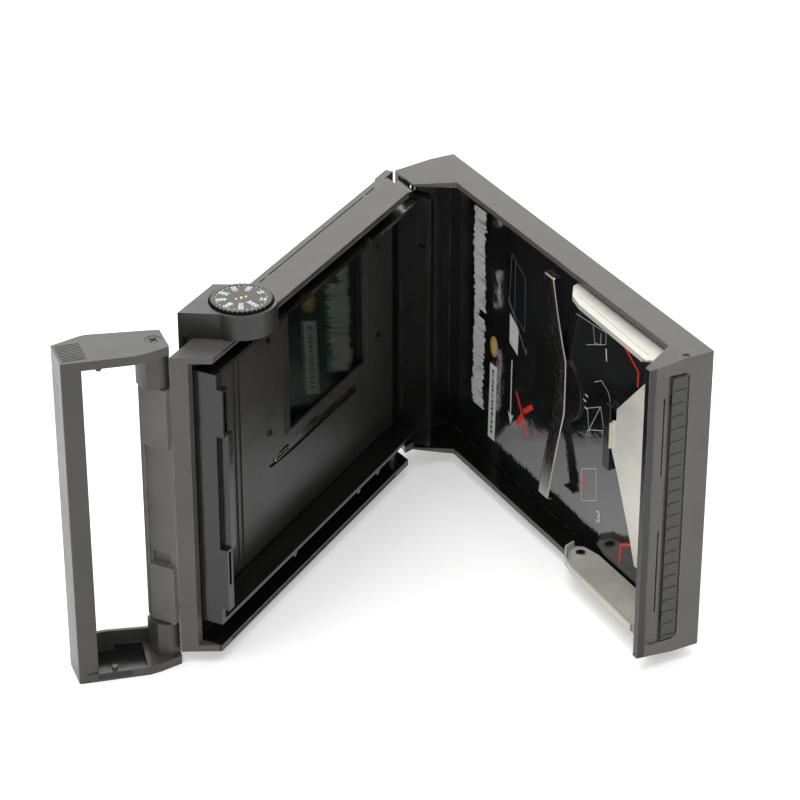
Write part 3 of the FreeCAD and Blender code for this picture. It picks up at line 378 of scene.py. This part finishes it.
FINISHES = {
    "shell": ("body_shell",),
    "grip": ("grip_housing",),
    "dial_case": ("dial_housing", "dial_base"),
    "cover": ("cover_shell",),
    "bail": ("latch_bail",),
    "inside": ("inner_frame", "hinge_block", "spread_block", "contact_block", "spring_base"),
    "dial": ("iso_dial", "speed_disc"),
    "face": ("dial_face",),
    "sheet": ("film_gate_plate", "glass_clips"),
    "plate": ("mount_plate",),
    "flap": ("exit_flap",),
    "zinc": ("film_guide_plate",),
    "cream": ("roller_frame",),
    "spring": ("pack_spring", "gate_wire", "detent_spring", "roller_springs"),
    "ground": ("hinge_pin", "detent_ball", "frame_pins", "inner_roller", "outer_roller"),
    "screw": ("plate_screws", "gate_screws", "hinge_screws", "dial_screws", "bail_screws", "spring_rivets"),
    "brass": ("contact_pins", "dial_shaft", "roller_bushes"),
    "label": ("label_plate",),
    "glass": ("glass_plate",),
    "foam": ("light_seal",),
    "slide": ("dark_slide",),
    "red": ("index_stud",),
}


# Edge rounding of the CAD nodes

WELD_REACH = 0.000002     # metres
FLAT_TURN = 0.5           # degrees between faces that are merged into one
SHARP_TURN = 30.0         # degrees from which an edge is rounded

EDGE_RADII = {            # millimetres
    "body_shell": 0.35, "grip_housing": 0.35, "dial_housing": 0.4, "dial_base": 0.15,
    "cover_shell": 0.35, "latch_bail": 0.4, "inner_frame": 0.22, "hinge_block": 0.25,
    "mount_plate": 0.2, "film_gate_plate": 0.12, "exit_flap": 0.08, "roller_frame": 0.15,
    "film_guide_plate": 0.12, "spread_block": 0.3, "spring_base": 0.15, "iso_dial": 0.12,
    "label_plate": 0.05, "pack_spring": 0.1, "bail_screws": 0.12, "index_stud": 0.2,
    "contact_block": 0.15, "spring_rivets": 0.15, "hinge_screws": 0.1, "plate_screws": 0.1,
}


def round_edges(node, radius):
    """Round every sharp edge of a CAD node, and smooth its shading between them."""
    obj = NODES[node]
    mesh = obj.data
    if "custom_normal" in mesh.attributes:
        mesh.attributes.remove(mesh.attributes["custom_normal"])
    for polygon in mesh.polygons:
        polygon.use_smooth = True
    weld = obj.modifiers.new("weld", "WELD")
    weld.merge_threshold = WELD_REACH
    merge = obj.modifiers.new("merge_flats", "DECIMATE")
    merge.decimate_type = "DISSOLVE"
    merge.angle_limit = math.radians(FLAT_TURN)
    bevel = obj.modifiers.new("round_edges", "BEVEL")
    bevel.width = radius * MM
    bevel.segments = 3
    bevel.limit_method = "ANGLE"
    bevel.angle_limit = math.radians(SHARP_TURN)
    bevel.use_clamp_overlap = True
    bevel.harden_normals = True
    weigh = obj.modifiers.new("weigh_normals", "WEIGHTED_NORMAL")
    weigh.keep_sharp = True


def dress(obj, material):
    obj.data.materials.clear()
    obj.data.materials.append(material)
    for polygon in obj.data.polygons:
        polygon.material_index = 0


# Pieces drawn flat in a millimetre frame and given a thickness

def add_piece(name, bm, place, body, material):
    """Turn a bmesh drawn in a millimetre frame into a piece that rides on a body."""
    bmesh.ops.recalc_face_normals(bm, faces=bm.faces)
    bm.transform(place)
    if place.determinant() < 0:
        bmesh.ops.reverse_faces(bm, faces=bm.faces)
    mesh = bpy.data.meshes.new(name)
    bm.to_mesh(mesh)
    bm.free()
    mesh.materials.append(material)
    obj = bpy.data.objects.new(name, mesh)
    bpy.context.scene.collection.objects.link(obj)
    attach(obj, body)
    return obj


def add_slab(bm, outline, low, high):
    """Closed slab with an outline of (x, y) points between two levels."""
    bottom = [bm.verts.new((x, y, low)) for x, y in outline]
    top = [bm.verts.new((x, y, high)) for x, y in outline]
    bm.faces.new(bottom[::-1])
    bm.faces.new(top)
    count = len(outline)
    for i in range(count):
        j = (i + 1) % count
        bm.faces.new((bottom[i], bottom[j], top[j], top[i]))


def stroke(bm, start, end, width, low, high):
    """Straight line of a printed drawing."""
    a = Vector(start)
    b = Vector(end)
    side = (b - a).orthogonal().normalized() * width / 2
    add_slab(bm, [tuple(a - side), tuple(b - side), tuple(b + side), tuple(a + side)], low, high)


def line_drawing(bm, points, width, low, high, closed=False):
    ends = points[1:] + (points[:1] if closed else [])
    for start, end in zip(points, ends):
        stroke(bm, start, end, width, low, high)


def ring_points(centre, radius, count=24, squash=1.0):
    x, y = centre
    turns = [2 * math.pi * i / count for i in range(count)]
    return [(x + radius * math.cos(a), y + squash * radius * math.sin(a)) for a in turns]


def add_text(name, words, size, place, body, material, thick=0.03, weight=0.0):
    """Digits as closed meshes; each is (text, x, y, turn in degrees) in the plane of place."""
    bm = bmesh.new()
    for text, x, y, turn in words:
        curve = bpy.data.curves.new(name, "FONT")
        curve.body = text
        curve.size = size
        curve.extrude = thick / 2
        curve.offset = weight
        curve.align_x = "CENTER"
        curve.align_y = "CENTER"
        curve.resolution_u = 3
        holder = bpy.data.objects.new(name, curve)
        mesh = bpy.data.meshes.new_from_object(holder)
        mesh.transform(Matrix.Translation((x, y, thick / 2)) @ Matrix.Rotation(math.radians(turn), 4, "Z"))
        bm.from_mesh(mesh)
        bpy.data.objects.remove(holder)
        bpy.data.curves.remove(curve)
        bpy.data.meshes.remove(mesh)
    bmesh.ops.remove_doubles(bm, verts=bm.verts, dist=0.0005)
    return add_piece(name, bm, place, body, material)


# Printed marks; ink starts just inside the surface and stands a little proud of it

INK_LOW = -0.02
INK = 0.03
DIAL_SPEEDS = ("25", "50", "100", "150", "200", "400", "800", "1600", "3000")
DIAL_FIRST = 108.0        # direction of the first speed, degrees from X
DIAL_RIM_R = 9.3          # outer ends of the numerals
DOT_R = 9.0
DOT_SIZE = 0.24
DIGIT_SIZE = 2.7
DIGIT_WIDTH = 1.55
DIAL_MARK_TURN = 144.0


def dial_marks(mats):
    """White speeds, read outwards, two dots between neighbours, and a small yellow mark in the middle."""
    _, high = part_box("dial_face")
    level = (high.z - HOLDER.translation.z) / MM
    place = DIAL @ Matrix.Translation((0, 0, level))
    spacing = 360.0 / len(DIAL_SPEEDS)
    digits = []
    dots = bmesh.new()
    for i, speed in enumerate(DIAL_SPEEDS):
        turn = DIAL_FIRST + i * spacing
        angle = math.radians(turn)
        middle = DIAL_RIM_R - DIGIT_WIDTH * len(speed) / 2
        digits.append((speed, middle * math.cos(angle), middle * math.sin(angle), turn))
        for step in (0.35, 0.65):
            a = math.radians(turn + step * spacing)
            spot = (DOT_R * math.cos(a), DOT_R * math.sin(a))
            add_slab(dots, ring_points(spot, DOT_SIZE, 10), INK_LOW, INK)
    add_text("dial_speeds", digits, DIGIT_SIZE, place, "dial", mats["white"], weight=0.05)
    add_piece("dial_dots", dots, place, "dial", mats["white"])
    centre = bmesh.new()
    for x, tall in ((-1.9, 0.5), (0.0, 0.75), (1.8, 0.6)):
        glyph = [(x - 0.7, -tall), (x + 0.2, -tall), (x + 0.7, tall), (x - 0.1, tall)]
        add_slab(centre, glyph, INK_LOW, INK)
    mark = place @ Matrix.Rotation(math.radians(DIAL_MARK_TURN), 4, "Z")
    add_piece("dial_centre_mark", centre, mark, "dial", mats["yellow"])


def ragged_bands(bm, width, height):
    """Ragged pale bands with torn ends, some of them broken off."""
    draw = random.Random(11)
    left, right = width
    y, top = height
    wander = 0.0
    while y < top:
        tall = draw.uniform(0.35, 0.8)
        wander = max(-0.8, min(0.8, wander + draw.uniform(-0.35, 0.35)))
        a = left + wander + draw.uniform(0.0, 1.3)
        b = right + wander - draw.uniform(0.0, 1.6)
        if 0.46 < (y - height[0]) / (top - height[0]) < 0.5:
            b = a + (b - a) * 0.45
        slant = draw.uniform(-0.2, 0.5)
        torn = b - draw.uniform(0.1, 0.8)
        add_slab(bm, [(a, y), (b, y + slant), (torn, y + slant + tall), (a, y + tall)], INK_LOW, INK)
        y += tall * draw.uniform(0.72, 1.02)


FINE_LINE = 0.17


def label_piece(name, bm, mats, ink):
    return add_piece(name, bm, LABEL, "cover", mats[ink])


def arrow_and_tab(mats):
    """White film tab, and the arrow that shows which way it is pulled."""
    bm = bmesh.new()
    add_slab(bm, [(21.2, 61.5), (27.5, 58.7), (27.9, 70.2), (21.2, 74.1)], INK_LOW, INK)
    stroke(bm, (23.4, 54.7), (23.0, 30.0), 0.7, INK_LOW, INK)
    add_slab(bm, [(21.1, 31.2), (23.2, 26.1), (25.2, 31.2), (23.2, 30.2)], INK_LOW, INK)
    label_piece("label_arrow_and_tab", bm, mats, "white")


def pale_band_marks(mats):
    bm = bmesh.new()
    ragged_bands(bm, (-7.5, 2.4), (22.0, 108.0))
    label_piece("label_pale_bands", bm, mats, "bands")


def pack_outline(mats):
    """Grey drawing of the film pack, in perspective."""
    bm = bmesh.new()
    pack = [(21.8, 99.7), (25.3, 97.7), (32.2, 93.7), (32.4, 71.1), (20.4, 77.6)]
    line_drawing(bm, pack, FINE_LINE, INK_LOW, INK, True)
    stroke(bm, (24.6, 98.0), (24.6, 76.0), FINE_LINE, INK_LOW, INK)
    line_drawing(bm, [(19.8, 80.0), (34.0, 62.0), (34.0, 65.0)], 0.5, INK_LOW, INK)
    label_piece("label_pack_outline", bm, mats, "grey")


def loading_drawings(mats):
    """White outlines of rollers, packs and tabs."""
    bm = bmesh.new()
    closed = [
        [(76.1, 33.5), (86.5, 38.9), (87.3, 25.5), (76.8, 19.9)],
        [(79.0, 61.0), (88.0, 66.0), (91.0, 57.5), (80.5, 52.5)],
        ring_points((80.5, 51.2), 1.1, 14),
        ring_points((90.8, 56.2), 1.1, 14),
    ]
    open_lines = [
        [(88.0, 66.0), (80.5, 52.5)],
        [(83.0, 74.0), (88.0, 77.0), (93.0, 74.5), (95.5, 69.0)],
        [(69.0, 95.9), (89.8, 97.6), (90.1, 92.9), (76.6, 86.5)],
        [(81.0, 96.5), (82.5, 90.0), (86.5, 91.0), (86.5, 96.0)],
    ]
    for outline in closed:
        line_drawing(bm, outline, FINE_LINE, INK_LOW, INK, True)
    for line in open_lines:
        line_drawing(bm, line, FINE_LINE, INK_LOW, INK)
    for x, y in ((77.2, 66.0), (76.0, 63.4), (77.0, 60.6)):
        stroke(bm, (x, y), (x + 1.9, y - 0.2), 0.5, INK_LOW, INK)
    label_piece("label_drawings", bm, mats, "white")


def red_marks(mats):
    """Red cross, and red lines along the corners of the drawings."""
    bm = bmesh.new()
    cross = (((27.3, 42.5), (32.2, 34.6), 1.3), ((39.5, 42.0), (33.0, 36.6), 2.2),
             ((27.8, 28.0), (32.0, 34.6), 2.2), ((32.4, 34.6), (36.6, 26.7), 1.4))
    for start, end, width in cross:
        stroke(bm, start, end, width, INK_LOW, INK)
    line_drawing(bm, [(100.0, 99.4), (112.2, 92.2), (112.2, 86.0)], 0.9, INK_LOW, INK)
    line_drawing(bm, [(104.5, 7.4), (105.4, 16.0), (112.0, 19.6)], 1.1, INK_LOW, INK)
    stroke(bm, (78.2, 32.4), (79.8, 26.0), 0.9, INK_LOW, INK)
    label_piece("label_red_marks", bm, mats, "red")


def label_digits(mats):
    digits = [("1", 90.6, 88.6, 8), ("3", 89.1, 19.0, 0)]
    add_text("label_digits", digits, 7.0, LABEL, "cover", mats["white"])


def round_sticker(mats):
    """Gold oval with a dark ring."""
    centre = (9.5, 54.0)
    foil = bmesh.new()
    add_slab(foil, ring_points(centre, 2.8, 32, 1.57), INK_LOW, 0.08)
    label_piece("round_sticker", foil, mats, "gold")
    rim = bmesh.new()
    line_drawing(rim, ring_points(centre, 2.2, 32, 1.6), 0.35, 0.05, 0.1, True)
    label_piece("round_sticker_rim", rim, mats, "paper_ink")


def strip_sticker(mats):
    """Pale strip with a row of plain dark bars."""
    foot = 12.3
    head = 45.8
    lean = 0.03
    strip = bmesh.new()
    add_slab(strip, [(5.8, foot), (11.0, foot), (12.0, head), (6.8, head)], INK_LOW, 0.1)
    label_piece("strip_sticker", strip, mats, "paper")
    bars = bmesh.new()
    draw = random.Random(5)
    y = 15.0
    while y < 43.0:
        length = draw.uniform(0.5, 1.6)
        x = 8.4 + (y - foot) * lean
        stroke(bars, (x, y), (x, y + length), 1.6, 0.08, 0.13)
        y += length + draw.uniform(0.5, 1.0)
    label_piece("strip_sticker_bars", bars, mats, "paper_ink")


def label_marks(mats):
    """Generic loading pictograms, stickers and pale ragged bands on the glossy label."""
    arrow_and_tab(mats)
    pale_band_marks(mats)
    pack_outline(mats)
    loading_drawings(mats)
    red_marks(mats)
    label_digits(mats)
    round_sticker(mats)
    strip_sticker(mats)


# Sheet-metal and moulded additions

def add_plates(name, outline, levels, place, body, material):
    """One piece of equal plates, each between two levels."""
    bm = bmesh.new()
    for low, high in levels:
        add_slab(bm, outline, low, high)
    return add_piece(name, bm, place, body, material)


def rounded_corners(x0, x1, y0, y1, radius, count=6):
    """Rectangle with quarter-round corners."""
    points = []
    for x, y, first in ((x1 - radius, y1 - radius, 0), (x0 + radius, y1 - radius, 90),
                        (x0 + radius, y0 + radius, 180), (x1 - radius, y0 + radius, 270)):
        for i in range(count + 1):
            a = math.radians(first + 90 * i / count)
            points.append((x + radius * math.cos(a), y + radius * math.sin(a)))
    return points


def arm_panels(mats):
    """Pressed panel and bead on each long arm of the roller frame."""
    cream = mats["cream"]
    panel = rounded_corners(95.8, 138.2, -1.7, 6.2, 2.6)
    add_plates("arm_panels", panel, [(3.7, 4.55), (115.45, 116.3)], COVER, "cover", cream)
    bead = [(92.0, -2.9), (140.0, -5.0), (140.0, -4.3), (92.0, -2.2)]
    add_plates("arm_beads", bead, [(4.3, 4.65), (116.3, 116.6)], COVER, "cover", cream)


def rim_end(mats):
    """Raised end of the lower rim beside the hinge."""
    outline = [(-12.0, -0.7), (9.3, -0.7), (9.3, 1.7), (8.5, 1.9), (-11.0, 1.2), (-12.0, 0.6)]
    add_plates("rim_end", outline, [(12.05, 13.45)], HOLDER, "body", mats["inside"])


# Pack spring

SPRING_EDGES = (57.1, 64.4)
SPRING_MID = 62.6
SPRING_LOW = 9.3          # closed-cover depth of its flat middle
SPRING_T = 0.4
SPRING_REACH = 46.2       # from its middle to where a tip starts to curl
SPRING_CROWN = 0.16       # how far its middle line stands above its edges
EDGE_THIN = 0.35          # thickness at the rounded edges, as a share of the whole
EDGE_OUT = 0.06


def leaf_line():
    """Half of the leaf's side view as (distance from the middle, rise).

    It starts flat, bends softly, runs straight with a slight bow, and ends in a curled tip.
    """
    flat = 9.0
    bend = 3.0
    slope = 0.176
    line = [(0.0, 0.0), (flat - 2.0, 0.0)]
    steps = 8
    for i in range(steps + 1):
        t = i / steps
        line.append((flat + bend * t, slope * bend * t * t / 2))
    rise = slope * bend / 2
    straight = 10
    bow = 0.25
    start = flat + bend
    for i in range(1, straight + 1):
        run = (SPRING_REACH - start) * i / straight
        line.append((start + run, rise + slope * run + bow * math.sin(math.pi * i / straight)))
    tip_x, tip_rise = line[-1]
    radius = 1.1
    lean = math.radians(10)
    for i in range(1, 9):
        a = lean + math.radians(13 * i)
        across = radius * (math.sin(a) - math.sin(lean))
        drop = radius * (math.cos(lean) - math.cos(a))
        line.append((tip_x + across, tip_rise - drop))
    x, y = line[-1]
    line.append((x + 0.35, y - 1.2))
    return line


def leaf_section(bm, spot, out):
    """Ring of vertices around the leaf at one place of its line; out is half its thickness there."""
    d, rise = spot
    across = 8
    x0, x1 = SPRING_EDGES
    ring = []
    for side in (1, -1):
        for j in range(across + 1):
            share = j / across if side > 0 else 1 - j / across
            x = x0 + (x1 - x0) * share
            thin = 1.0
            if share in (0, 1):
                thin = EDGE_THIN
                x += EDGE_OUT if share == 1 else -EDGE_OUT
            crown = SPRING_CROWN * (1 - (2 * share - 1) ** 2)
            y = SPRING_LOW - rise - crown - side * out.y * thin
            z = SPRING_MID + d + side * out.x * thin
            ring.append(bm.verts.new((x, y, z)))
    return ring


def pack_spring_leaf(mats):
    """Bowed spring leaf with rounded edges and tips curled back."""
    half = leaf_line()
    line = [(-d, rise) for d, rise in half[:0:-1]] + half
    bm = bmesh.new()
    rings = []
    for k, spot in enumerate(line):
        before = line[max(k - 1, 0)]
        after = line[min(k + 1, len(line) - 1)]
        along = Vector((after[0] - before[0], after[1] - before[1])).normalized()
        rings.append(leaf_section(bm, spot, Vector((-along.y, along.x)) * SPRING_T / 2))
    count = len(rings[0])
    for first, second in zip(rings, rings[1:]):
        for j in range(count):
            n = (j + 1) % count
            bm.faces.new((first[j], first[n], second[n], second[j]))
    bm.faces.new(rings[0][::-1])
    bm.faces.new(rings[-1])
    leaf = add_piece("pack_spring_leaf", bm, COVER, "cover", mats["spring"])
    for polygon in leaf.data.polygons:
        polygon.use_smooth = len(polygon.vertices) == 4
    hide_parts("pack_spring")


# Floor, light and camera

FLOOR_SIZE = 6.0          # metres
FLOOR_GLOW = 0.32


def stage():
    low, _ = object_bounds()
    bpy.ops.mesh.primitive_plane_add(size=FLOOR_SIZE, location=(0, 0, low.z))
    floor = bpy.context.object
    floor.name = "floor"
    g = Graph("floor_paper")
    paper = g.mix(g.noise(3.0), tone(0.86, 0.0), tone(0.9, 0.0))
    g.set(Base_Color=paper, Roughness=0.85, Emission_Color=paper, Emission_Strength=FLOOR_GLOW)
    floor.data.materials.append(g.material)
    floor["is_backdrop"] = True


def area_light(name, place, target, size, power):
    data = bpy.data.lights.new(name, "AREA")
    data.size = size
    data.energy = power
    lamp = bpy.data.objects.new(name, data)
    bpy.context.scene.collection.objects.link(lamp)
    lamp.location = place
    lamp.rotation_mode = "QUATERNION"
    lamp.rotation_quaternion = (Vector(target) - Vector(place)).to_track_quat("-Z", "Y")


def light():
    world = bpy.data.worlds.new("studio")
    world.use_nodes = True
    world.node_tree.nodes["Background"].inputs["Color"].default_value = (1.0, 1.0, 1.0, 1.0)
    world.node_tree.nodes["Background"].inputs["Strength"].default_value = 1.0
    bpy.context.scene.world = world
    area_light("overhead", (0.2, -0.2, 1.4), (0.0, 0.0, 0.0), 1.2, 12.0)
    area_light("back_softbox", (-1.25, -0.75, 0.95), (0.0, 0.05, 0.0), 1.6, 11.0)


CAMERA_SPOT = (0.8704, 0.4784, 0.5254)     # metres, row frame
CAMERA_AIM = (-0.7788, -0.3950, -0.4873)
LENS = 134.7


def camera():
    data = bpy.data.cameras.new("camera")
    data.lens = LENS
    data.sensor_width = 36.0
    shooter = bpy.data.objects.new("camera", data)
    bpy.context.scene.collection.objects.link(shooter)
    shooter.location = CAMERA_SPOT
    shooter.rotation_mode = "QUATERNION"
    shooter.rotation_quaternion = Vector(CAMERA_AIM).to_track_quat("-Z", "Y")
    bpy.context.scene.camera = shooter


def main():
    mats = make_materials()
    for finish, nodes in FINISHES.items():
        for node in nodes:
            dress(NODES[node], mats[finish])
    for node, radius in EDGE_RADII.items():
        round_edges(node, radius)
    dial_marks(mats)
    label_marks(mats)
    pack_spring_leaf(mats)
    arm_panels(mats)
    rim_end(mats)
    stage()
    light()
    camera()
    bpy.context.scene.view_settings.view_transform = "Standard"


main()
